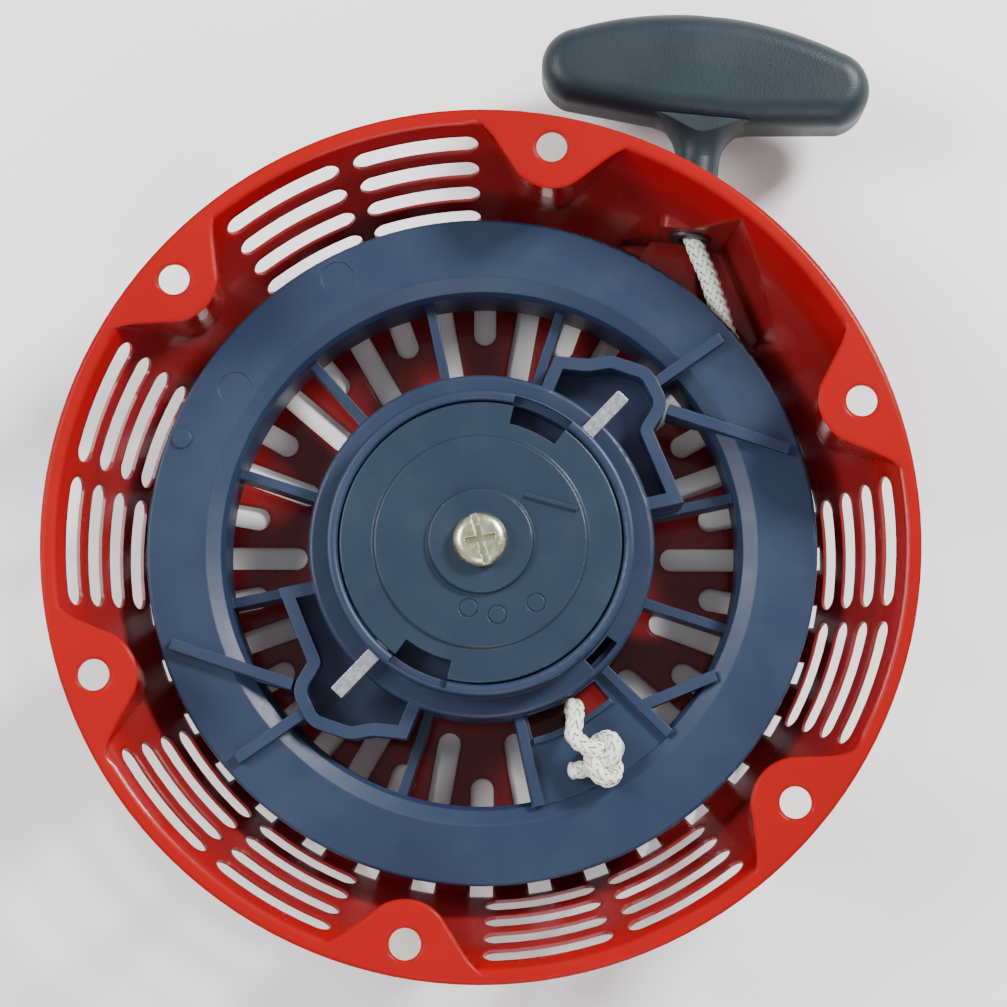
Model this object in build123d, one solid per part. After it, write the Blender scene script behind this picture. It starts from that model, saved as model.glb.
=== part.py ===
from build123d import *
import os
from math import acos, atan2, cos, degrees, hypot, radians, sin

# Recoil starter of a small engine, in millimetres.
# Z = 0 is the flange's mounting face, +Z points to the engine, and the closed end is below.
# Angles are in degrees, anticlockwise from +X seen from the engine.

# ---- driving dimensions: case ----
SHEET = 1.0                # thickness of the pressed steel
DEPTH = 52.0               # mounting face to the inside of the closed plate
FLANGE_R = 115.0
MOUTH_R = 111.2            # inside of the wall at the mounting face
WALL_SLOPE = 0.375         # radius lost per millimetre of depth
CORNER_R = 4.0             # inside corner between wall and closed plate
MOUTH_ROLL_R = 1.5         # rolled edge between flange and wall, on the engine's side
BOLT_CIRCLE_R = 106.4
BOLT_HOLE_R = 4.1
BOLT_COUNT = 6
BOLT_PHASE = 19.7
LUG_TIP_R = 95.0           # innermost reach of a lug
LUG_DRAFT = 0.09
WALL_SLOT_WIDTH = 7.0
WALL_SLOT_SPAN = 18.2      # end to end, degrees
WALL_SLOT_GAP = 1.1        # sector centre to the nearest slot end, degrees
WALL_SLOT_DEPTHS = (8.8, 19.5, 30.2, 40.9)
PLATE_SLOT_WIDTH = 6.3
PLATE_SLOT_END_R = 95.6    # the slots run out through the corner and the wall
PLATE_SLOT_TOP = 5.5       # and this far up the wall
LONG_SLOT_START_R = 49.6
SHORT_SLOT_START_R = 61.3

# ---- driving dimensions: rope and its exit ----
ROPE_R = 2.5
ROPE_Z = -28.0
ROPE_TURNS = 2.25
ROPE_OUTER_R = 86.0        # centre line of the outermost turn where the rope leaves it
ROPE_PITCH = 5.07
EXIT_ANGLE = 84.3          # direction in which the rope leaves the case
EXIT_X, EXIT_Y = 57.4, 86.8
EXIT_HOLE_R = 4.6
EXIT_FLAT_HALF = 9.0

# ---- driving dimensions: reel ----
RING_R = 90.5
RING_FACE_Z = -22.0
RING_LIP_R = 74.6
RIM_INNER_R = 69.5
RIM_WALL_R = 72.1          # bottom of the rope groove
RIM_BACK_Z = -43.0
GROOVE_FRONT_Z = -25.0
GROOVE_BACK_Z = -31.0
HUB_R = 46.5
HUB_INNER_R = 43.3         # spring chamber
HUB_BACK_Z = -50.5
HUB_FLOOR_Z = -18.0        # floor that the ratchets lie on
HUB_FLOOR = 3.0
CUP_R = 41.0               # upstanding rim round the guide disc
CUP_INNER_R = 37.9
CUP_TOP_Z = -9.0
SPOKE_COUNT = 12
SPOKE_PHASE = 12.0
SPOKE = 2.6
SPOKE_TOP_Z = -31.0
POCKET_WALL = 3.4          # wall round each ratchet's floor
POCKET_TOP_Z = -18.6
POCKET_CORNER_R = 7.0      # round corners of the pocket's outline
JOURNAL_R = 7.0
SLEEVE_R = 11.0
RUNNING_GAP = 0.06

# ---- driving dimensions: ratchets and guide ----
RATCHET_ANGLE = 46.2       # the straight tip lies on this radius
RATCHET_TIP_R = 55.2
RATCHET_ELBOW_R = 34.2
RATCHET_TIP_WIDTH = 3.9
RATCHET_PIVOT_R = 30.5
RATCHET_PIVOT_ANGLE = 14.0
RATCHET_BOTTOM_Z = -17.7
RATCHET_TOP_Z = -13.0
RATCHET_PIN_R = 2.5
DISC_R = 37.5
DISC_TOP_Z = -9.5
DISC_BOTTOM_Z = -12.4
DISC_STEP_R = 28.0
DISC_BOSS_R = 13.8
DISC_BOSS_TOP_Z = -7.1
POST_NECK_R = 5.0
SCREW_HEAD_R = 7.2
SCREW_SEAT_Z = -6.9

# ---- driving dimensions: grip ----
GRIP_LENGTH = 91.0
GRIP_CROWN = 17.6          # above the bar's centre, at mid length
GRIP_UNDER = 13.0
GRIP_HALF_DEPTH = 10.5
GRIP_CENTRE = 44.3         # rope exit to the bar's centre
STEM_R = 6.15
STEM_BORE_R = 2.8

# ---- driving dimensions: recoil spring ----
SPRING_STRIP = 0.6
SPRING_HEIGHT = 20.0
SPRING_LOW_Z = -48.5
SPRING_OUTER_R = 42.4
SPRING_PITCH = 3.1
SPRING_TURNS = 9

# ---- derived places ----
CLOSED_Z = -DEPTH - SHEET
PLATE_Z = -DEPTH
KNOT_Z = -17.8
KNOT = Vector(31.3, -55.3, KNOT_Z)
RUN_END = 4.0              # where the rope leaves the case's side for the grip's
STEM_SEAT = SHEET + 1.3


def polar(radius, angle, z=0.0):
    return Vector(radius * cos(radians(angle)), radius * sin(radians(angle)), z)


def turned(shape, angle):
    return Rot(0, 0, angle) * shape


def wall_r(z):
    return MOUTH_R + WALL_SLOPE * z


def disc(radius, z_low, z_high, x=0.0, y=0.0):
    return Pos(x, y, z_low) * Cylinder(radius, z_high - z_low, align=(Align.CENTER, Align.CENTER, Align.MIN))


def tube(inner, outer, z_low, z_high):
    return disc(outer, z_low, z_high) - disc(inner, z_low - 1, z_high + 1)


def turned_profile(points, rounded=(), radius=0.0):
    """A solid of revolution about Z from (radius, z) points, with some of its corners rounded."""
    face = make_face(Polyline(*points, close=True))
    corners = [v for v in face.vertices() if any(hypot(v.X - r, v.Y - z) < 0.01 for r, z in rounded)]
    if corners:
        face = fillet(corners, radius)
    return revolve(Rot(90, 0, 0) * face, Axis.Z)


def bar(start, end, width, z_low, z_high):
    """An upright rib between two points in plan."""
    run = end - start
    length = hypot(run.X, run.Y)
    middle = (start + end) * 0.5
    shape = Box(length, width, z_high - z_low, align=(Align.CENTER, Align.CENTER, Align.MIN))
    return Pos(middle.X, middle.Y, z_low) * Rot(0, 0, degrees(atan2(run.Y, run.X))) * shape


def wedge(radius, start, end, z_low, z_high):
    """A pie slice, wide enough to cut a ring between two angles."""
    outer = radius / cos(radians((end - start) / 2))
    corners = [polar(0, 0), polar(outer, start), polar(outer, end)]
    face = make_face(Polyline(*[(p.X, p.Y) for p in corners], close=True))
    return Pos(0, 0, z_low) * extrude(face, z_high - z_low)


def round_wire(path, radius):
    """A round rod along a path."""
    return sweep(Plane(path @ 0, z_dir=path % 0) * Circle(radius), path)


def save(shape, name):
    export_step(shape, f"parts/{name}.step")


# Frame at the rope exit: X across the pull, Y along the pull, Z up.
EXIT = Pos(EXIT_X, EXIT_Y, ROPE_Z) * Rot(0, 0, EXIT_ANGLE - 90)


# ---- case ----
def lug_outline(shift):
    """A lug in plan, pointing to -X: round tip, sloping flanks and wide roots."""
    tip = LUG_TIP_R + shift
    edge = [
        ThreePointArc((tip + 2.6, -7.6), (tip, 0), (tip + 2.6, 7.6)),
        Line((tip + 2.6, 7.6), (tip + 10.2, 14.6)),
        ThreePointArc((tip + 10.2, 14.6), (tip + 13.6, 18.4), (tip + 15.9, 22.6)),
        Line((tip + 15.9, 22.6), (tip + 24, 22.6)),
        Line((tip + 24, 22.6), (tip + 24, -22.6)),
        Line((tip + 24, -22.6), (tip + 15.9, -22.6)),
        ThreePointArc((tip + 15.9, -22.6), (tip + 13.6, -18.4), (tip + 10.2, -14.6)),
        Line((tip + 10.2, -14.6), (tip + 2.6, -7.6)),
    ]
    return make_face(Wire(edge))


def bowl(offset, bottom_z, corner, rim_z, roll):
    """The tapered bowl, offset outwards from its inside surface, flaring at its rolled rim."""
    floor_r = wall_r(bottom_z) + offset
    top_r = wall_r(rim_z) + offset
    points = [
        (0, rim_z + 3), (top_r + 6, rim_z + 3), (top_r + 6, rim_z), (top_r, rim_z),
        (floor_r, bottom_z), (0, bottom_z),
    ]
    shape = turned_profile(points, [(top_r, rim_z)], roll)
    return fillet(shape.edges().filter_by(GeomType.CIRCLE).sort_by(Axis.Z)[0], corner)


def exit_bulge(offset, bottom_z):
    """The pressed-out corner at the rope exit, whose flat side is square to the rope."""
    top = Polyline((-30, -30), (-18, 0), (12.5, 0), (38.9, -33.8), (20, -45), close=True)
    low = Polyline((-30, -30), (-18, 0), (9.0, 0), (22.0, -24.0), (10, -45), close=True)
    frame = Pos(EXIT_X, EXIT_Y, 0) * Rot(0, 0, EXIT_ANGLE - 90)
    top_face = offset_face(make_face(top), offset)
    low_face = offset_face(make_face(low), offset)
    return frame * loft([Pos(0, 0, -0.4) * top_face, Pos(0, 0, bottom_z) * low_face], ruled=True)


def offset_face(face, amount):
    return offset(face, amount, kind=Kind.INTERSECTION) if amount else face


def wall_slot(middle, depth):
    """Cutter for one long slot in the wall, with round ends."""
    radius = wall_r(-depth)
    slope = degrees(atan2(WALL_SLOPE, 1))
    half = WALL_SLOT_WIDTH / 2
    round_angle = degrees(half / radius)
    span = WALL_SLOT_SPAN - 2 * round_angle
    section = Pos(radius, 0, -depth) * Rot(0, slope, 0) * Rot(90, 0, 0) * Rectangle(8, WALL_SLOT_WIDTH)
    body = turned(revolve(section, Axis.Z, span), middle - span / 2)
    ends = [
        turned(Pos(radius, 0, -depth) * Rot(0, 90 + slope, 0) * Cylinder(half, 8), middle + side * span / 2)
        for side in (-1, 1)
    ]
    return body + ends


def plate_slot(angle, start_r):
    """Cutter for one radial slot in the closed plate, round at its inner end."""
    half = PLATE_SLOT_WIDTH / 2
    centre = polar(start_r + half, angle)
    end = polar(PLATE_SLOT_END_R, angle)
    straight = bar(centre, end, PLATE_SLOT_WIDTH, CLOSED_Z - 5, PLATE_Z + PLATE_SLOT_TOP)
    return straight + disc(half, CLOSED_Z - 5, PLATE_Z + 2, centre.X, centre.Y)


def exit_pad(lift, bottom_z):
    """The pressed-in step beside the rope exit."""
    corners = [(42.0 - lift, 78.0), (51.0, 93.0 + lift), (58.0 + lift, 93.0), (59.0 + lift, 68.0)]
    face = make_face(Polyline(*corners, close=True))
    return Pos(0, 0, bottom_z) * extrude(face, -36.0 - SHEET + lift - bottom_z)


def exit_flat(inset):
    """The pressed-in flat round the rope hole; an inset gives its hollow outside."""
    width = 2 * (EXIT_FLAT_HALF - inset)
    flat = Box(width, 14, width, align=(Align.CENTER, Align.MIN, Align.CENTER))
    return EXIT * Pos(0, inset, 0) * fillet(flat.edges().filter_by(Axis.Y), 3)


def make_case():
    lug_angles = [BOLT_PHASE + 360 / BOLT_COUNT * k for k in range(BOLT_COUNT)]
    lean = Vector(LUG_DRAFT, 0, -1)
    lug = extrude(lug_outline(0), amount=DEPTH, dir=lean)
    pocket = extrude(Pos(0, 0, -SHEET) * lug_outline(SHEET + 0.3), amount=DEPTH + 8, dir=lean)
    cavity = bowl(0, PLATE_Z, CORNER_R, 0, MOUTH_ROLL_R) + exit_bulge(0, -42.0)
    solid = bowl(1.06 * SHEET, CLOSED_Z, CORNER_R + SHEET, -SHEET, MOUTH_ROLL_R - SHEET)
    solid = (solid & disc(FLANGE_R, CLOSED_Z, 0)) + exit_bulge(SHEET, -42.0 - SHEET)
    solid += disc(FLANGE_R, -SHEET, 0)
    cavity -= [turned(lug, angle) for angle in lug_angles]
    pad_keep = tube(RING_R + 0.9, 120, CLOSED_Z - 1, 0)
    cavity -= exit_pad(SHEET, CLOSED_Z) & pad_keep
    cavity -= exit_flat(0)
    shell = solid - cavity
    shell -= exit_flat(SHEET)
    shell -= [turned(pocket, angle) for angle in lug_angles]
    shell -= exit_pad(0, CLOSED_Z - 1) & tube(RING_R + 1.9, 120, CLOSED_Z - 2, 0)
    return shell


def slot_cutters():
    """All the slots: a wall array each side of every sector centre but the rope exit's."""
    sector = 360 / BOLT_COUNT
    offset_angle = WALL_SLOT_GAP + WALL_SLOT_SPAN / 2
    for k in range(1, BOLT_COUNT):
        centre = BOLT_PHASE + sector * (k + 0.5)
        for side in (-1, 1):
            for depth in WALL_SLOT_DEPTHS:
                yield wall_slot(centre + side * offset_angle, depth)
    for k in range(18):
        yield plate_slot(BOLT_PHASE + 20 * k, LONG_SLOT_START_R)
        yield plate_slot(BOLT_PHASE + 10 + 20 * k, SHORT_SLOT_START_R)


def finish_case(shell):
    holes = []
    for k in range(BOLT_COUNT):
        place = polar(BOLT_CIRCLE_R, BOLT_PHASE + 360 / BOLT_COUNT * k)
        holes.append(disc(BOLT_HOLE_R, -SHEET - 1, 1, place.X, place.Y))
    rope_hole = EXIT * Rot(90, 0, 0) * Cylinder(EXIT_HOLE_R, 12)
    post_hole = disc(8.0, CLOSED_Z - 1, PLATE_Z + 1)
    return shell - (list(slot_cutters()) + holes + [rope_hole, post_hole])


# ---- centre post and screw ----
def make_center_post():
    post = turned_profile([
        (0, CLOSED_Z), (8.0, CLOSED_Z), (8.0, PLATE_Z), (13.0, PLATE_Z), (13.0, PLATE_Z + 2.5),
        (10.5, PLATE_Z + 2.5), (10.5, -27.0), (JOURNAL_R, -27.0), (JOURNAL_R, -15.2),
        (POST_NECK_R, -15.2), (POST_NECK_R, SCREW_SEAT_Z), (0, SCREW_SEAT_Z),
    ])
    spring_slot = Pos(9, 0, -38) * Box(8, 1.6, 22)
    return post - disc(2.95, -24, 0) - spring_slot


def make_center_screw():
    head_top = SCREW_SEAT_Z + 4.2
    head = turned_profile([(0, SCREW_SEAT_Z), (SCREW_HEAD_R, SCREW_SEAT_Z), (SCREW_HEAD_R, head_top), (0, head_top)])
    head = fillet(head.edges().sort_by(Axis.Z)[-1], 2.6)
    slot = Pos(0, 0, head_top) * Rot(0, 0, -75) * Box(20, 1.9, 2.8)
    cross = Pos(0, 0, head_top) * Rot(0, 0, 10) * (Box(8, 1.6, 5.2) + Box(1.6, 8, 5.2))
    return head + disc(2.9, -21, SCREW_SEAT_Z) - slot - cross


# ---- reel ----
def ratchet_pocket():
    """Teardrop wall round the floor that the first ratchet swings over, with two ribs across the ring."""
    corners = [
        (38, 70), (55.4, 69), (58.4, 60.5), (62.6, 56), (66.6, 46.5),
        (63.8, 37.2), (55.9, 34), (55.7, 12), (38, 12),
    ]
    points = [polar(r, a) for r, a in corners]
    outline = make_face(Polyline(*[(p.X, p.Y) for p in points], close=True))
    outline = fillet([v for v in outline.vertices() if 56 < hypot(v.X, v.Y) < 70], POCKET_CORNER_R)
    inside = offset(outline, -POCKET_WALL)
    block = Pos(0, 0, -31) * extrude(outline, 31 + POCKET_TOP_Z)
    block -= Pos(0, 0, -28) * extrude(inside, 20)
    block -= disc(HUB_R - 1, -32, 0)
    web = bar(polar(64, 43.5), polar(71.5, 42.2), 3.0, RIM_BACK_Z, GROOVE_FRONT_Z + 1)
    rib_a = bar(polar(65, 43.3), polar(86.5, 41.2), 3.0, GROOVE_FRONT_Z + 0.2, RING_FACE_Z + 2.6)
    rib_b = bar(polar(62.6, 36.4), polar(87.2, 17.5), 3.0, GROOVE_FRONT_Z + 0.2, RING_FACE_Z + 2.6)
    brace = bar(polar(62.6, 36.4), polar(71.5, 28.3), 3.0, -33, GROOVE_FRONT_Z + 1)
    return block + web + rib_a + rib_b + brace


def rope_pocket():
    """Floor beside the hub that carries the rope's knot, above the rope's way in."""
    floor = tube(HUB_R - 1, RIM_INNER_R + 1.6, -25.3, -23.3) & wedge(80, -79, -44, -26, -20)
    sides = [bar(polar(HUB_R - 1, a), polar(71, a), SPOKE, -33, -21.5) for a in (-77.5, -45)]
    gusset = bar(polar(60, -46), polar(71.5, -29), 3.0, -33, -21.5)
    slot = tube(HUB_R + 0.5, 53.2, -30, -20) & wedge(80, -75, -50, -30, -20)
    lip = tube(53.2, 54.8, -25.3, -22.3) & wedge(80, -75, -50, -26, -20)
    return floor + sides + gusset + lip - slot


def make_reel():
    rim = turned_profile([
        (RING_R, RING_FACE_Z), (RING_R, GROOVE_FRONT_Z), (RIM_WALL_R, GROOVE_FRONT_Z),
        (RIM_WALL_R, GROOVE_BACK_Z), (RING_R - 1.5, GROOVE_BACK_Z), (RING_R - 1.5, GROOVE_BACK_Z - 2),
        (RIM_WALL_R, GROOVE_BACK_Z - 2), (RIM_WALL_R, RIM_BACK_Z), (RIM_INNER_R, RIM_BACK_Z),
        (RIM_INNER_R, RING_FACE_Z - 4), (RIM_INNER_R + 1.1, RING_FACE_Z - 2), (RING_LIP_R, RING_FACE_Z),
    ], [(RING_R, RING_FACE_Z), (RING_LIP_R, RING_FACE_Z)], 0.9)
    bore_r = JOURNAL_R + RUNNING_GAP
    shoulders = [(CUP_R, CUP_TOP_Z), (CUP_INNER_R, CUP_TOP_Z), (HUB_R, HUB_FLOOR_Z)]
    hub = turned_profile([
        (bore_r, -26.9), (SLEEVE_R, -26.9), (SLEEVE_R, HUB_FLOOR_Z - HUB_FLOOR),
        (HUB_INNER_R, HUB_FLOOR_Z - HUB_FLOOR), (HUB_INNER_R, HUB_BACK_Z), (HUB_R, HUB_BACK_Z),
        (HUB_R, HUB_FLOOR_Z), (CUP_R, HUB_FLOOR_Z), (CUP_R, CUP_TOP_Z), (CUP_INNER_R, CUP_TOP_Z),
        (CUP_INNER_R, HUB_FLOOR_Z), (SLEEVE_R, HUB_FLOOR_Z), (SLEEVE_R, -15.5), (bore_r, -15.5),
    ], shoulders, 1.3)
    reel = rim + hub
    for k in range(SPOKE_COUNT):
        angle = SPOKE_PHASE + 30 * k
        reel += bar(polar(HUB_R - 1, angle), polar(RIM_INNER_R + 1, angle), SPOKE, RIM_BACK_Z, SPOKE_TOP_Z)
    pocket = ratchet_pocket()
    reel += [pocket, turned(pocket, 180), rope_pocket()]
    reel += disc(2.5, RING_FACE_Z - 0.5, RING_FACE_Z + 0.7, polar(86.6, 160).X, polar(86.6, 160).Y)
    return reel - reel_cutters()


def reel_cutters():
    cutters = [round_wire(lead_path(), ROPE_R + 0.5)]
    for side in (0, 180):
        pivot = polar(RATCHET_PIVOT_R, RATCHET_PIVOT_ANGLE + side)
        cutters.append(disc(RATCHET_PIN_R + RUNNING_GAP, -22, -17, pivot.X, pivot.Y))
        window = wedge(60, 26 + side, 51.5 + side, HUB_FLOOR_Z, -12.6)
        cutters.append(window & tube(CUP_INNER_R - 1, CUP_R + 1, HUB_FLOOR_Z, -12.6))
        notch = wedge(60, 52.6 + side, 76.8 + side, -11.5, -8)
        cutters.append(notch & tube(CUP_INNER_R - 1, CUP_R - 0.9, -11.5, -8))
    for angle, radius in ((118, 84), (147, 80)):
        place = polar(radius, angle)
        cutters.append(disc(4.5, RING_FACE_Z - 0.2, RING_FACE_Z + 1, place.X, place.Y))
    cutters.append(tube(CUP_R + 0.5, 44.7, -22, -17) & wedge(60, -48, -36, -22, -17))
    cutters.append(turned(Pos(HUB_INNER_R, 0, -38.5) * Box(3.2, 3, 21), -90))
    return cutters


# ---- springs ----
def coil_steps(start, radius, pitch, step_angle, count):
    """Arcs of a flat spiral, clockwise and inwards: each has its centre, radius and first angle."""
    step = pitch * step_angle / 360
    centre = Vector(0, 0, 0)
    for k in range(count):
        begin = start - step_angle * k
        yield centre, radius, begin
        centre = centre + polar(step, begin - step_angle)
        radius -= step


def coil(section, start, radius, pitch, step_angle, count, z):
    """A flat spiral of the given section, which is drawn with X outwards and Y up."""
    spiral = Part()
    for centre, arc_r, begin in coil_steps(start, radius, pitch, step_angle, count):
        hub = Pos(centre.X, centre.Y, z)
        face = hub * Rot(0, 0, begin) * Pos(arc_r, 0, 0) * Rot(90, 0, 0) * section
        spiral += revolve(face, Axis((centre.X, centre.Y, z), (0, 0, -1)), step_angle)
    return spiral


def make_recoil_spring():
    strip = Rectangle(SPRING_STRIP, SPRING_HEIGHT)
    middle_z = SPRING_LOW_Z + SPRING_HEIGHT / 2
    spiral = coil(strip, -90, SPRING_OUTER_R, SPRING_PITCH, 180, 2 * SPRING_TURNS, middle_z)
    outer_hook = Pos(0, -SPRING_OUTER_R - 0.9, middle_z) * Box(SPRING_STRIP, 2.0, SPRING_HEIGHT)
    return spiral + outer_hook


def make_ratchet_spring():
    pivot = polar(RATCHET_PIVOT_R, RATCHET_PIVOT_ANGLE)
    wire = 0.3
    coil_r = 2.9
    path = Pos(pivot.X, pivot.Y, -15.0) * Helix(0.72, 1.8, coil_r)
    return round_wire(path, wire)


def make_friction_spring():
    """Open wire clip on the post's neck, with two straight legs."""
    wire = 0.6
    clip_r = POST_NECK_R + wire + 0.04
    loop = CenterArc((0, 0, -14.2), clip_r, 60, 240)
    leg_1 = Line(loop @ 0 - (loop % 0) * 7, loop @ 0)
    leg_2 = Line(loop @ 1, loop @ 1 + (loop % 1) * 7)
    return round_wire(Wire([leg_1, loop, leg_2]), wire)


# ---- ratchets and guide ----
def make_ratchet():
    pivot = polar(RATCHET_PIVOT_R, RATCHET_PIVOT_ANGLE)
    elbow = polar(RATCHET_ELBOW_R, RATCHET_ANGLE)
    tip = polar(RATCHET_TIP_R, RATCHET_ANGLE)
    low, high = RATCHET_BOTTOM_Z, RATCHET_TOP_Z
    arm = disc(4.6, low, high, pivot.X, pivot.Y) + bar(pivot, elbow, 4.6, low, high)
    arm += disc(2.3, low, high, elbow.X, elbow.Y)
    tip_bar = bar(elbow, tip, RATCHET_TIP_WIDTH, low, high)
    tip_bar = fillet(tip_bar.edges().filter_by(Axis.Z).sort_by_distance(tip)[:2], 0.5)
    spring_seat = disc(5.2, low + 2.3, high + 1, pivot.X, pivot.Y) - disc(2.1, low, high + 2, pivot.X, pivot.Y)
    pin = disc(RATCHET_PIN_R, -20.8, low + 1, pivot.X, pivot.Y)
    return arm + tip_bar - spring_seat + pin


def make_ratchet_guide():
    bore = POST_NECK_R + RUNNING_GAP
    boss = [(DISC_R, DISC_TOP_Z), (DISC_STEP_R, DISC_TOP_Z + 0.8), (DISC_BOSS_R, DISC_BOSS_TOP_Z)]
    guide = turned_profile([
        (bore, DISC_BOTTOM_Z), (DISC_R, DISC_BOTTOM_Z), (DISC_R, DISC_TOP_Z), (DISC_STEP_R + 0.8, DISC_TOP_Z),
        (DISC_STEP_R, DISC_TOP_Z + 0.8), (DISC_BOSS_R + 0.5, DISC_TOP_Z + 0.8),
        (DISC_BOSS_R, DISC_BOSS_TOP_Z), (bore, DISC_BOSS_TOP_Z),
    ], boss, 0.5)
    for side in (0, 180):
        lug_place = polar(28.9, 57.6 + side)
        guide += disc(2.0, HUB_FLOOR_Z + 0.6, DISC_BOTTOM_Z + 0.5, lug_place.X, lug_place.Y)
        notch = wedge(60, 53 + side, 76.4 + side, -20, 0) & tube(32.5, 40, DISC_BOTTOM_Z - 1, 0)
        guide -= notch
    for angle, radius in ((-100, 18), (-77, 20), (-48, 22)):
        place = polar(radius, angle)
        guide -= disc(2.6, DISC_TOP_Z + 0.55, 0, place.X, place.Y) - disc(2.2, -20, 0, place.X, place.Y)
    guide += bar(polar(17, 46), polar(27, 18), 1.0, DISC_TOP_Z, DISC_TOP_Z + 1.5)
    return guide


# ---- rope ----
def tangent_angle():
    """Where the rope from the exit touches the outermost turn."""
    bearing = degrees(atan2(EXIT_Y, EXIT_X))
    return bearing - degrees(acos(ROPE_OUTER_R / hypot(EXIT_X, EXIT_Y)))


def make_rope_coil():
    quarters = int(4 * ROPE_TURNS)
    return coil(Circle(ROPE_R), tangent_angle(), ROPE_OUTER_R, ROPE_PITCH, 90, quarters, ROPE_Z)


def lead_path():
    """From the innermost turn through the rim, under the pocket floor and up beside the hub."""
    quarters = int(4 * ROPE_TURNS)
    centre, radius, begin = list(coil_steps(tangent_angle(), ROPE_OUTER_R, ROPE_PITCH, 90, quarters))[-1]
    end_angle = begin - 90
    start = centre + polar(radius, end_angle, ROPE_Z)
    onwards = polar(1, end_angle - 90)
    rise = polar(49.6, -61, ROPE_Z)
    top = Vector(rise.X, rise.Y, KNOT_Z)
    return FilletPolyline(start, start + onwards * 9, rise, top, KNOT, radius=[5, 4, 4])


def make_reel_knot():
    lean = Pos(KNOT) * Rot(0, 0, -70) * Rot(0, 90, 0)
    return lean * (Cylinder(5.3, 4.4) + [Pos(0, 0, end) * Sphere(5.3) for end in (-2.2, 2.2)])


def make_rope_run():
    start = polar(ROPE_OUTER_R, tangent_angle(), ROPE_Z)
    bend = EXIT * Pos(0, 0, 0)
    end = EXIT * Pos(0, RUN_END, 0)
    return round_wire(FilletPolyline(start, bend.position, end.position, radius=12), ROPE_R)


def make_rope_tail():
    length = GRIP_CENTRE + GRIP_CROWN - 8 - RUN_END
    tail = EXIT * Pos(0, RUN_END, 0) * Rot(-90, 0, 0) * disc(ROPE_R, 0, length)
    return tail - make_grip_knot()


def make_rope_guide():
    face = [
        (3.3, -1.2), (5.6, -1.2), (6.0, -0.8), (6.0, 0), (EXIT_HOLE_R - 0.05, 0), (EXIT_HOLE_R - 0.05, SHEET),
        (6.0, SHEET), (6.0, SHEET + 0.6), (5.6, SHEET + 1.0), (3.3, SHEET + 1.0),
    ]
    return EXIT * Rot(-90, 0, 0) * turned_profile(face)


# ---- grip ----
def make_grip():
    half = GRIP_LENGTH / 2
    edge = [
        ThreePointArc((8.5 - half, 10.6), (0, GRIP_CROWN), (half - 8.5, 10.6)),
        ThreePointArc((half - 8.5, 10.6), (half, 0), (half - 7.5, -10.4)),
        Line((half - 7.5, -10.4), (12, -GRIP_UNDER)),
        Line((12, -GRIP_UNDER), (-12, -GRIP_UNDER)),
        Line((-12, -GRIP_UNDER), (7.5 - half, -10.4)),
        ThreePointArc((7.5 - half, -10.4), (-half, 0), (8.5 - half, 10.6)),
    ]
    outline = make_face(Wire(edge))
    outline = fillet(outline.vertices(), 4)
    body = extrude(outline, GRIP_HALF_DEPTH, both=True)
    body = fillet(body.faces().filter_by(Axis.Z).edges(), 6.5)
    seat = STEM_SEAT - GRIP_CENTRE
    flare = make_face(Wire([
        Line((0, seat), (STEM_R, seat)), Line((STEM_R, seat), (STEM_R, -22.5)),
        ThreePointArc((STEM_R, -22.5), (STEM_R + 2.9, -15.6), (15.2, -12)),
        Line((15.2, -12), (0, -12)), Line((0, -12), (0, seat)),
    ]))
    stem = revolve(flare, Axis.Y) & Box(40, 80, 2 * GRIP_HALF_DEPTH - 4)
    recess = Pos(0, GRIP_CROWN, 0) * Rot(90, 0, 0) * Cylinder(7.4, 26)
    bore = Rot(90, 0, 0) * Cylinder(STEM_BORE_R, 120)
    return EXIT * Pos(0, GRIP_CENTRE, 0) * (body + stem - recess - bore)


def make_grip_knot():
    return EXIT * Pos(0, GRIP_CENTRE + GRIP_CROWN - 6.8, 0) * Sphere(6.0)


def main():
    os.makedirs("parts", exist_ok=True)
    save(finish_case(make_case()), "case")
    save(make_center_post(), "center_post")
    save(make_center_screw(), "center_screw")
    save(make_rope_guide(), "rope_guide")
    save(make_reel(), "reel")
    save(make_recoil_spring(), "recoil_spring")
    save(make_ratchet_guide(), "ratchet_guide")
    save(make_friction_spring(), "friction_spring")
    for number, angle in ((1, 0), (2, 180)):
        save(turned(make_ratchet(), angle), f"ratchet_{number}")
        save(turned(make_ratchet_spring(), angle), f"ratchet_spring_{number}")
    save(make_rope_coil(), "rope_coil")
    save(round_wire(lead_path(), ROPE_R) - make_reel_knot(), "rope_lead")
    save(make_reel_knot(), "reel_knot")
    save(make_rope_run(), "rope_run")
    save(make_rope_tail(), "rope_tail")
    save(make_grip(), "grip")
    save(make_grip_knot(), "grip_knot")


main()
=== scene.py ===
import math

import bpy
from mathutils import Matrix, Vector


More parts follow.
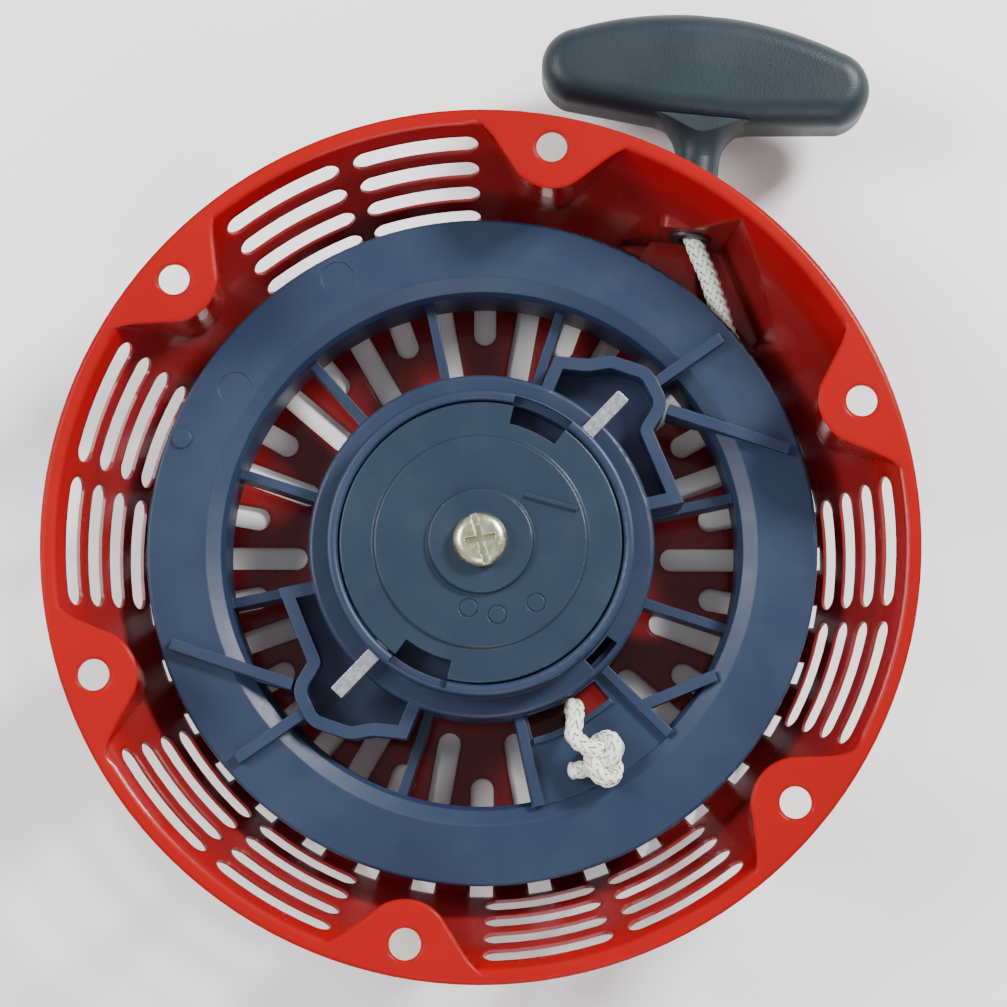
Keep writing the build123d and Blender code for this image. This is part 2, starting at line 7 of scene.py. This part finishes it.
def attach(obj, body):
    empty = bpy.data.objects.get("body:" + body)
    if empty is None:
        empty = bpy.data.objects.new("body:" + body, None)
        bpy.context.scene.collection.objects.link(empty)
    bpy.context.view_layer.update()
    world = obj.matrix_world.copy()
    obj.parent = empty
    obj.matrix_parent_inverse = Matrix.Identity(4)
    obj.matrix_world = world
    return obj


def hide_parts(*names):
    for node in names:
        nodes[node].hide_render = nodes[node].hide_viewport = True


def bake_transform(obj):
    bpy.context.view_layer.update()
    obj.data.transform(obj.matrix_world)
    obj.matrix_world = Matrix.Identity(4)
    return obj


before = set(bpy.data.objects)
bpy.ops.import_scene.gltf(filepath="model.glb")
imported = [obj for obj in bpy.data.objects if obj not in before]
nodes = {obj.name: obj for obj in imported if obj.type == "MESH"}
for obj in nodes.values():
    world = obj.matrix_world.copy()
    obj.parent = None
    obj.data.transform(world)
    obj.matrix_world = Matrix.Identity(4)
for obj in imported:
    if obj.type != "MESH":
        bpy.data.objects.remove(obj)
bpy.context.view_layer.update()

MM = 0.001
ROPE_R = 2.5
ROPE_Z = -28.0
COIL_R = 86.0
COIL_PITCH = 5.07
COIL_QUARTERS = 9
EXIT = Vector((57.4, 86.8, ROPE_Z))
EXIT_ANGLE = math.radians(84.3)
PULL = Vector((math.cos(EXIT_ANGLE), math.sin(EXIT_ANGLE), 0))
ACROSS = Vector((PULL.y, -PULL.x, 0))
RUN_END = 4.0
RUN_LINE = ((67.9, 57.9), (65.8, 64.6), (64.0, 70.2), (62.3, 75.8), (59.5, 82.6))
RUN_SWELL = 0.3
COIL_STEP = 1.3
PLAIT_STEP = 0.6
ARC_STEPS = 20
CURVE_STEPS = 24
FLOOR_HALF, FLOOR_Z = 2.5, -0.0534
LIGHT_TARGET = (0, 0, -0.03)
WORLD_STRENGTH = 0.48
CAMERA_PLACE = (0.013242, -0.079763, 0.645039)
CAMERA_TURN_Y, CAMERA_TURN_X = math.radians(0.629), math.radians(7.814)
CAMERA_LENS, CAMERA_SENSOR = 89.113, 36.0
BEVEL_SAMPLES = 4
GRIP_KNOT = EXIT + PULL * 55.1
KNOT = Vector((31.5, -57.0, -18.0))


# ---- shading ----
class Shader:
    """A Principled material built up from procedural layers in the part's own coordinates."""

    def __init__(self, name, base, rough, metal=0.0, coat=0.0, coat_rough=0.05, specular=0.5):
        self.mat = bpy.data.materials.new(name)
        self.mat.use_nodes = True
        self.tree = self.mat.node_tree
        self.bsdf = self.tree.nodes["Principled BSDF"]
        self.bsdf.inputs["Metallic"].default_value = metal
        self.bsdf.inputs["Coat Weight"].default_value = coat
        self.bsdf.inputs["Coat Roughness"].default_value = coat_rough
        self.bsdf.inputs["Specular IOR Level"].default_value = specular
        self.place = self.add("ShaderNodeTexCoord").outputs["Object"]
        self.color = (*base, 1)
        self.rough = rough
        self.normal = None

    def add(self, kind, **settings):
        node = self.tree.nodes.new(kind)
        for key, value in settings.items():
            setattr(node, key, value)
        return node

    def link(self, source, target):
        self.tree.links.new(source, target)

    def feed(self, value, target):
        """A plain number or colour is set on the socket itself; a varying one is linked."""
        if isinstance(value, (float, tuple)):
            target.default_value = value
        else:
            self.link(value, target)

    def stretch(self, scale):
        """The part's coordinates, scaled by axis, for streaks."""
        node = self.add("ShaderNodeMapping")
        self.link(self.place, node.inputs["Vector"])
        node.inputs["Scale"].default_value = scale
        return node.outputs[0]

    def noise(self, scale, detail=3.0, place=None, rough=0.5):
        node = self.add("ShaderNodeTexNoise")
        self.link(place or self.place, node.inputs["Vector"])
        node.inputs["Scale"].default_value = scale
        node.inputs["Detail"].default_value = detail
        node.inputs["Roughness"].default_value = rough
        return node.outputs["Fac"]

    def cells(self, scale):
        node = self.add("ShaderNodeTexVoronoi")
        self.link(self.place, node.inputs["Vector"])
        node.inputs["Scale"].default_value = scale
        return node.outputs["Distance"]

    def span(self, value, low, high, to_low=0.0, to_high=1.0):
        node = self.add("ShaderNodeMapRange")
        self.link(value, node.inputs["Value"])
        limits = {"From Min": low, "From Max": high, "To Min": to_low, "To Max": to_high}
        for key, number in limits.items():
            node.inputs[key].default_value = number
        return node.outputs[0]

    def times(self, a, b):
        node = self.add("ShaderNodeMath", operation="MULTIPLY")
        self.link(a, node.inputs[0])
        self.feed(b, node.inputs[1])
        return node.outputs[0]

    def depth(self, top, bottom):
        """0 at the height top and 1 at bottom, in the part's own coordinates."""
        split = self.add("ShaderNodeSeparateXYZ")
        self.link(self.place, split.inputs[0])
        return self.span(split.outputs["Z"], top, bottom)

    def edges(self, radius, low=0.02, high=0.25):
        """1 on convex and concave edges, 0 on flats."""
        bevel = self.add("ShaderNodeBevel", samples=BEVEL_SAMPLES)
        bevel.inputs["Radius"].default_value = radius
        flat = self.add("ShaderNodeNewGeometry").outputs["Normal"]
        dot = self.add("ShaderNodeVectorMath", operation="DOT_PRODUCT")
        self.link(bevel.outputs[0], dot.inputs[0])
        self.link(flat, dot.inputs[1])
        return self.span(dot.outputs["Value"], 1 - low, 1 - high)

    def flank(self, uv):
        """1 along a strand's two thin sides, from the coordinate that runs round its section."""
        split = self.add("ShaderNodeSeparateXYZ")
        self.link(uv, split.inputs[0])
        wave = self.add("ShaderNodeMath", operation="COSINE")
        self.link(self.times(split.outputs["Y"], 4 * math.pi), wave.inputs[0])
        return self.span(wave.outputs[0], 0.1, 1.0, 0, 0.85)

    def tint(self, mask, color):
        node = self.add("ShaderNodeMix", data_type="RGBA")
        self.link(mask, node.inputs["Factor"])
        self.feed(self.color, node.inputs["A"])
        node.inputs["B"].default_value = (*color, 1)
        self.color = node.outputs["Result"]
        return self

    def roughen(self, mask, to):
        node = self.add("ShaderNodeMix", data_type="FLOAT")
        self.link(mask, node.inputs["Factor"])
        self.feed(self.rough, node.inputs["A"])
        node.inputs["B"].default_value = to
        self.rough = node.outputs["Result"]
        return self

    def bump(self, height, strength, distance):
        node = self.add("ShaderNodeBump")
        node.inputs["Strength"].default_value = strength
        node.inputs["Distance"].default_value = distance
        self.link(height, node.inputs["Height"])
        if self.normal:
            self.link(self.normal, node.inputs["Normal"])
        self.normal = node.outputs[0]
        return self

    def round_edges(self, radius):
        bevel = self.add("ShaderNodeBevel", samples=BEVEL_SAMPLES)
        bevel.inputs["Radius"].default_value = radius
        self.normal = bevel.outputs[0]
        return self

    def done(self):
        self.feed(self.color, self.bsdf.inputs["Base Color"])
        self.feed(self.rough, self.bsdf.inputs["Roughness"])
        if self.normal:
            self.link(self.normal, self.bsdf.inputs["Normal"])
        return self.mat


def enamel():
    """Sprayed enamel with worn edges; painted shade darkens it towards the bottom, following height only,
    on both faces of the wall.
    """
    s = Shader("enamel", (0.30, 0.0016, 0.0012), 0.24, coat=0.30, coat_rough=0.04, specular=0.22)
    s.round_edges(0.0018)
    s.tint(s.span(s.noise(14, 3), 0.42, 0.68, 0, 0.4), (0.21, 0.001, 0.0012))
    # painted shade: the red turns dark maroon from 4 mm to 16 mm below the mouth, standing in for the
    # shade on the walls
    s.tint(s.times(s.depth(-0.004, -0.016), 0.6), (0.13, 0.016, 0.018))
    wear = s.times(s.edges(0.0006), s.span(s.noise(160, 4), 0.44, 0.62))
    s.tint(s.times(wear, 0.55), (0.50, 0.025, 0.012))
    chips = s.times(s.edges(0.0005, 0.06, 0.3), s.span(s.noise(420, 2), 0.66, 0.70))
    s.tint(chips, (0.16, 0.13, 0.12))
    s.roughen(s.span(s.noise(55, 5), 0.50, 0.78, 0, 0.5), 0.42)
    s.roughen(chips, 0.6)
    s.bump(s.noise(330, 1.5), 0.10, 0.0004)
    s.bump(s.noise(60, 2), 0.06, 0.0010)
    return s.done()


def moulding(name, base, rough, pale, flow_scale):
    """Glass-filled moulded plastic: fibre grain, flow marks and rubbed edges."""
    s = Shader(name, base, rough, specular=0.32)
    s.round_edges(0.0005)
    s.tint(s.span(s.noise(flow_scale, 4, s.stretch((1.0, 1.0, 0.4))), 0.40, 0.70, 0, 0.45), pale)
    fibres = s.noise(1500, 3, rough=0.7)
    s.tint(s.span(fibres, 0.58, 0.80, 0, 0.22), tuple(1.7 * c for c in pale))
    rubbed = s.times(s.edges(0.0006), s.span(s.noise(220, 4), 0.40, 0.62))
    s.tint(s.times(rubbed, 0.45), tuple(2.2 * c for c in pale))
    s.roughen(s.span(s.noise(70, 4), 0.45, 0.72, 0, 0.6), min(1.0, rough + 0.18))
    s.bump(fibres, 0.16, 0.00012)
    s.bump(s.noise(260, 3), 0.10, 0.0003)
    return s.done()


def grip_plastic():
    s = Shader("grip_plastic", (0.009, 0.018, 0.024), 0.42, specular=0.32)
    s.round_edges(0.0005)
    s.tint(s.span(s.noise(28, 4), 0.45, 0.70, 0, 0.6), (0.016, 0.029, 0.036))
    s.tint(s.times(s.edges(0.0008), s.span(s.noise(180, 3), 0.4, 0.6, 0, 0.5)), (0.06, 0.075, 0.08))
    s.roughen(s.span(s.noise(45, 4), 0.45, 0.7, 0, 0.7), 0.62)
    s.bump(s.cells(1500), 0.22, 0.00015)
    s.bump(s.noise(300, 2), 0.08, 0.0003)
    return s.done()


def metal(name, base, rough, stain, streak, grain):
    """Plated or rolled metal with fine streaks, stains and bright rubbed edges."""
    rubbed = tuple(min(1.0, 1.2 * c) for c in base)
    s = Shader(name, base, rough, metal=1.0)
    s.round_edges(0.0003)
    s.tint(s.span(s.noise(180, 4), 0.42, 0.70, 0, 0.55), stain)
    s.tint(s.times(s.edges(0.0004), s.span(s.noise(400, 3), 0.4, 0.6, 0, 0.7)), rubbed)
    fine = s.noise(grain, 3, s.stretch(streak))
    s.roughen(s.span(fine, 0.35, 0.75, 0, 0.7), min(1.0, rough + 0.22))
    s.bump(fine, 0.12, 0.00008)
    return s.done()


def rope_material():
    s = Shader("rope", (0.84, 0.88, 0.80), 0.58, specular=0.4)
    s.bsdf.inputs["Sheen Weight"].default_value = 0.25
    s.bsdf.inputs["Sheen Roughness"].default_value = 0.4
    uv = s.add("ShaderNodeUVMap").outputs[0]
    across = s.add("ShaderNodeMapping")
    s.link(uv, across.inputs["Vector"])
    across.inputs["Scale"].default_value = (60, 9, 1)
    fibre = s.noise(1.0, 3, across.outputs[0])
    s.tint(s.span(fibre, 0.45, 0.75, 0, 0.5), (0.50, 0.55, 0.42))
    s.tint(s.span(s.noise(190, 3), 0.50, 0.72, 0, 0.5), (0.52, 0.54, 0.34))
    # painted shade: dark greenish tint along each strand's flanks, standing in for the shadow in the gaps
    # between strands
    s.tint(s.flank(uv), (0.15, 0.17, 0.09))
    s.tint(s.span(s.noise(900, 2), 0.62, 0.80, 0, 0.4), (0.30, 0.29, 0.20))
    s.bump(fibre, 0.5, 0.00018)
    return s.done()


def floor_material():
    s = Shader("floor", (0.93, 0.93, 0.92), 0.75)
    s.tint(s.span(s.noise(3, 3), 0.4, 0.7, 0, 0.2), (0.90, 0.90, 0.89))
    s.bump(s.noise(500, 2), 0.03, 0.0002)
    return s.done()


# ---- mesh tools ----
def smooth_path(points, step):
    """Evenly spaced points on a centripetal curve through the given ones."""
    pts = [points[0] * 2 - points[1]] + list(points) + [points[-1] * 2 - points[-2]]
    fine = []
    for a, b, c, d in zip(pts, pts[1:], pts[2:], pts[3:]):
        for k in range(CURVE_STEPS):
            t = k / CURVE_STEPS
            fine.append(0.5 * (2 * b + (c - a) * t + (2 * a - 5 * b + 4 * c - d) * t * t
                               + (3 * b - a - 3 * c + d) * t * t * t))
    fine.append(points[-1].copy())
    total = sum((q - p).length for p, q in zip(fine, fine[1:]))
    count = max(2, round(total / step))
    out, along, goal = [fine[0]], 0.0, total / count
    for p, q in zip(fine, fine[1:]):
        length = (q - p).length
        while length and along + length >= goal - 1e-9 and len(out) < count:
            out.append(p.lerp(q, (goal - along) / length))
            goal += total / count
        along += length
    out.append(fine[-1])
    return out


def carried_frames(path):
    """Position, side, up and distance along, with the frame carried without twist."""
    last = len(path) - 1
    tangents = [(path[min(i + 1, last)] - path[max(i - 1, 0)]).normalized() for i in range(last + 1)]
    start = Vector((0, 0, 1)) if abs(tangents[0].z) < 0.9 else Vector((1, 0, 0))
    side = tangents[0].cross(start).normalized()
    frames, along = [], 0.0
    for i, (point, tangent) in enumerate(zip(path, tangents)):
        side = (side - tangent * side.dot(tangent)).normalized()
        if i:
            along += (point - path[i - 1]).length
        frames.append((point, side, tangent.cross(side), tangent, along))
    return frames


class Builder:
    """Collects quads and their along-and-across coordinates."""

    def __init__(self):
        self.verts, self.faces, self.uvs = [], [], []

    def rings(self, rings, uvs, closed_ends=True):
        base, size = len(self.verts), len(rings[0])
        for ring in rings:
            self.verts.extend(ring)
        for i in range(len(rings) - 1):
            for j in range(size):
                k = (j + 1) % size
                a, b = base + i * size, base + (i + 1) * size
                self.faces.append((a + j, a + k, b + k, b + j))
                u0, u1, v0, v1 = uvs[i], uvs[i + 1], j / size, (j + 1) / size
                self.uvs.append(((u0, v0), (u0, v1), (u1, v1), (u1, v0)))
        if closed_ends:
            for start, flip in ((base, True), (base + (len(rings) - 1) * size, False)):
                face = tuple(start + j for j in range(size))
                self.faces.append(face[::-1] if flip else face)
                self.uvs.append(tuple((0.0, 0.0) for _ in face))

    def build(self, name, material):
        mesh = bpy.data.meshes.new(name)
        mesh.from_pydata([v * MM for v in self.verts], [], self.faces)
        layer = mesh.uv_layers.new(name="UVMap")
        flat = [c for face in self.uvs for c in face]
        for loop, uv in zip(layer.data, flat):
            loop.uv = uv
        mesh.materials.append(material)
        mesh.shade_smooth()
        mesh.validate()
        obj = bpy.data.objects.new(name, mesh)
        bpy.context.scene.collection.objects.link(obj)
        return obj


STRANDS = 8
LAY = 22.0
STRAND_WIDTH = 1.48
STRAND_THICK = 0.78
WEAVE = 0.28
SWELL_FADE = 8.0
STRAND_SIDES = 8
CORE_SIDES = 10
TUBE_SINK = 0.45
TUBE_RISE = 0.42


def weave_height(phase):
    """Over two and under two, softened: +1 is over, -1 under."""
    return max(-1.0, min(1.0, math.sqrt(2) * math.cos(math.pi * (phase - 0.5) / 2)))


def braid(builder, path, radius=ROPE_R, swell=0.0):
    """Sixteen flat strands, eight each way, plaited round a core; it may swell between its ends."""
    frames = carried_frames(path)
    length = frames[-1][4]
    grown = [swell * min(1.0, f[4] / SWELL_FADE, (length - f[4]) / SWELL_FADE) for f in frames]
    omega = 2 * math.pi / LAY
    ride_r = radius - STRAND_THICK / 2 - WEAVE
    section = [(STRAND_WIDTH / 2 * math.cos(a), STRAND_THICK / 2 * math.sin(a))
               for a in [2 * math.pi * k / STRAND_SIDES for k in range(STRAND_SIDES)]]
    for hand in (1, -1):
        for i in range(STRANDS):
            rings = []
            for (point, side, up, tangent, s), extra in zip(frames, grown):
                turn = 2 * math.pi * i / STRANDS + hand * omega * s
                phase = 2 * STRANDS * s / LAY + 2 * hand * i
                lift = hand * WEAVE * weave_height(phase)
                out = side * math.cos(turn) + up * math.sin(turn)
                round_dir = (up * math.cos(turn) - side * math.sin(turn)) * hand
                run = (tangent + round_dir * omega * ride_r).normalized()
                wide = run.cross(out)
                centre = point + out * (ride_r + extra + lift)
                rings.append([centre + wide * x + out * y for x, y in section])
            builder.rings(rings, [f[4] / 10 for f in frames])
    core = radius - STRAND_THICK - WEAVE
    turns = [2 * math.pi * k / CORE_SIDES for k in range(CORE_SIDES)]
    rings = [[p + (side * math.cos(a) + up * math.sin(a)) * (core + extra) for a in turns]
             for (p, side, up, _, _), extra in zip(frames, grown)]
    builder.rings(rings, [f[4] / 10 for f in frames])


def plaited_tube(builder, path, radius=ROPE_R, around=32):
    """The same plait as relief on one tube, for rope that lies mostly out of sight."""
    rings, frames = [], carried_frames(path)
    omega = 2 * math.pi / LAY
    for point, side, up, _, s in frames:
        ring = []
        for k in range(around):
            turn = 2 * math.pi * k / around
            u = (turn - omega * s) * STRANDS / (2 * math.pi)
            v = (turn + omega * s) * STRANDS / (2 * math.pi)
            over = (math.floor(u) + math.floor(v)) % 2 == 0
            rise = abs(math.sin(math.pi * (u if over else v)))
            reach = radius - TUBE_SINK + TUBE_RISE * rise
            ring.append(point + (side * math.cos(turn) + up * math.sin(turn)) * reach)
        rings.append(ring)
    builder.rings(rings, [f[4] / 10 for f in frames])


def melted_end(builder, point, direction, radius):
    """The rope's cut end, sealed with heat into an uneven rounded cap."""
    side = direction.cross(Vector((0, 0, 1))).normalized()
    up = side.cross(direction)
    rings = []
    for i in range(7):
        a = math.pi / 2 * i / 6.3
        ring = []
        for k in range(16):
            t = 2 * math.pi * k / 16
            swell = 1 + 0.07 * math.sin(3 * t + 1) + 0.04 * math.sin(5 * t)
            ring.append(point + direction * (math.sin(a) * radius * 0.55)
                        + (side * math.cos(t) + up * math.sin(t)) * (math.cos(a) * radius * swell))
        rings.append(ring)
    builder.rings(rings, [0.1 * i for i in range(7)])


def overhand(centre, x_axis, y_axis, z_axis, k, rise, gap):
    """The loops of an overhand knot; both its ends leave along -y."""
    out = []
    steps = 44
    for i in range(steps + 1):
        t = math.radians(180 + gap + (360 - 2 * gap) * i / steps)
        x = k * (math.sin(t) + 2 * math.sin(2 * t))
        y = k * (math.cos(t) - 2 * math.cos(2 * t))
        z = -rise * math.sin(3 * t)
        out.append(centre + x_axis * x + y_axis * y + z_axis * z)
    return out


# ---- rope route ----
def polar(radius, angle, z=0.0):
    return Vector((radius * math.cos(math.radians(angle)), radius * math.sin(math.radians(angle)), z))


def coil_points():
    """The wound turns: quarter arcs whose centres step round, from the outermost tangent inwards."""
    bearing = math.degrees(math.atan2(EXIT.y, EXIT.x))
    begin = bearing - math.degrees(math.acos(COIL_R / math.hypot(EXIT.x, EXIT.y)))
    centre, radius, step, out = Vector((0, 0, ROPE_Z)), COIL_R, COIL_PITCH / 4, []
    for quarter in range(COIL_QUARTERS):
        for i in range(ARC_STEPS):
            out.append(centre + polar(radius, begin - 90 * i / ARC_STEPS))
        centre = centre + polar(step, begin - 90)
        radius -= step
        begin -= 90
    out.append(centre + polar(radius, begin))
    return out, begin


def rope_pieces(material):
    wound, last = coil_points()

    builder = Builder()
    plaited_tube(builder, smooth_path(wound, COIL_STEP), ROPE_R - 0.05)
    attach(builder.build("rope_coil_plait", material), "reel")
    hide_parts("rope_coil")

    start, onwards = wound[-1], polar(1, last - 90)
    rise = polar(49.6, -61)
    foot, top = Vector((rise.x, rise.y, ROPE_Z)), Vector((rise.x + 0.9, rise.y - 0.2, -19.5))
    knot = overhand(KNOT, Vector((0, 1, 0)), Vector((1, 0, 0)), Vector((0, 0, 1)), 1.9, 2.7, 36)
    lead_in = [start, start + onwards * 9, start.lerp(foot, 0.72), foot + Vector((0.4, -0.4, 1.2)), top,
               Vector((25.0, -46.6, -15.4)), Vector((24.6, -51.2, -14.8))]
    tail_end = knot[-1] + Vector((-4.6, -0.6, 0.5))
    path = smooth_path(lead_in + knot[::2] + [tail_end], PLAIT_STEP)
    builder = Builder()
    braid(builder, path)
    melted_end(builder, path[-1], (path[-1] - path[-3]).normalized(), ROPE_R - 0.15)
    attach(builder.build("rope_lead_plait", material), "reel")
    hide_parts("rope_lead", "reel_knot")

    run = [wound[0]] + [Vector((x, y, ROPE_Z)) for x, y in RUN_LINE]
    run += [EXIT + PULL * 1.4, EXIT + PULL * RUN_END]
    builder = Builder()
    braid(builder, smooth_path(run, PLAIT_STEP), swell=RUN_SWELL)
    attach(builder.build("rope_run_plait", material), "housing")
    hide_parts("rope_run")

    tail_start, tail_stop = EXIT + PULL * RUN_END, GRIP_KNOT - PULL * 3
    builder = Builder()
    braid(builder, smooth_path([tail_start, tail_start.lerp(tail_stop, 0.5), tail_stop], PLAIT_STEP))
    tail = builder.build("rope_tail_plait", material)
    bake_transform(tail)
    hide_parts("rope_tail")

    builder = Builder()
    loops = overhand(GRIP_KNOT, ACROSS, Vector((0, 0, 1)), PULL, 1.25, 1.7, 36)
    braid(builder, smooth_path(loops[::2], PLAIT_STEP), 2.2)
    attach(builder.build("grip_knot_plait", material), "handle")
    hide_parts("grip_knot")


# ---- surroundings ----
def make_floor(material):
    mesh = bpy.data.meshes.new("floor")
    corners = [(x * FLOOR_HALF, y * FLOOR_HALF, FLOOR_Z) for x, y in ((-1, -1), (1, -1), (1, 1), (-1, 1))]
    mesh.from_pydata(corners, [], [(0, 1, 2, 3)])
    mesh.materials.append(material)
    floor = bpy.data.objects.new("floor", mesh)
    bpy.context.scene.collection.objects.link(floor)


def area_light(name, place, target, size, power, color=(1, 1, 1)):
    data = bpy.data.lights.new(name, "AREA")
    data.shape, data.size, data.energy, data.color = "SQUARE", size, power, color
    light = bpy.data.objects.new(name, data)
    light.location = place
    light.rotation_mode = "QUATERNION"
    light.rotation_quaternion = (Vector(target) - Vector(place)).to_track_quat("-Z", "Y")
    bpy.context.scene.collection.objects.link(light)


def make_lights():
    area_light("key", (0.85, 0.72, 0.85), LIGHT_TARGET, 0.34, 38.0, (1.0, 0.99, 0.97))
    area_light("fill", (-0.85, 0.25, 0.80), LIGHT_TARGET, 0.50, 14.0)
    area_light("front", (0.10, -0.85, 0.70), LIGHT_TARGET, 0.60, 5.5)
    world = bpy.data.worlds.new("studio")
    world.use_nodes = True
    world.node_tree.nodes["Background"].inputs["Color"].default_value = (1.0, 1.0, 1.0, 1)
    world.node_tree.nodes["Background"].inputs["Strength"].default_value = WORLD_STRENGTH
    bpy.context.scene.world = world


def make_camera():
    data = bpy.data.cameras.new("camera")
    data.lens, data.sensor_width = CAMERA_LENS, CAMERA_SENSOR
    data.clip_start, data.clip_end = 0.01, 20.0
    camera = bpy.data.objects.new("camera", data)
    turn = Matrix.Rotation(CAMERA_TURN_Y, 4, "Y") @ Matrix.Rotation(CAMERA_TURN_X, 4, "X")
    camera.matrix_world = Matrix.Translation(CAMERA_PLACE) @ turn
    bpy.context.scene.collection.objects.link(camera)
    bpy.context.scene.camera = camera


def paint(material, *names):
    for name in names:
        nodes[name].data.materials.clear()
        nodes[name].data.materials.append(material)


paint(enamel(), "case")
paint(moulding("reel_plastic", (0.013, 0.024, 0.056), 0.40, (0.026, 0.046, 0.078), 22), "reel")
paint(moulding("guide_plastic", (0.013, 0.024, 0.044), 0.34, (0.022, 0.040, 0.060), 34), "ratchet_guide")
paint(grip_plastic(), "grip")
paint(metal("zinc_blue", (0.74, 0.79, 0.84), 0.24, (0.60, 0.68, 0.76), (1, 1, 9), 700),
      "ratchet_1", "ratchet_2")
paint(metal("zinc_yellow", (0.66, 0.70, 0.50), 0.26, (0.50, 0.49, 0.28), (1, 1, 1), 900), "center_screw")
paint(metal("steel", (0.56, 0.56, 0.57), 0.32, (0.42, 0.41, 0.40), (1, 1, 6), 800), "center_post")
# painted shade: the rope guide gets near-black steel to stand in for the shade inside the rope hole
paint(metal("guide_steel_painted_shade", (0.10, 0.10, 0.11), 0.38, (0.06, 0.06, 0.06), (1, 1, 6), 800), "rope_guide")
paint(metal("spring_steel", (0.33, 0.34, 0.37), 0.34, (0.22, 0.22, 0.26), (1, 1, 8), 800),
      "recoil_spring", "friction_spring", "ratchet_spring_1", "ratchet_spring_2")
rope_pieces(rope_material())
make_floor(floor_material())
make_lights()
make_camera()
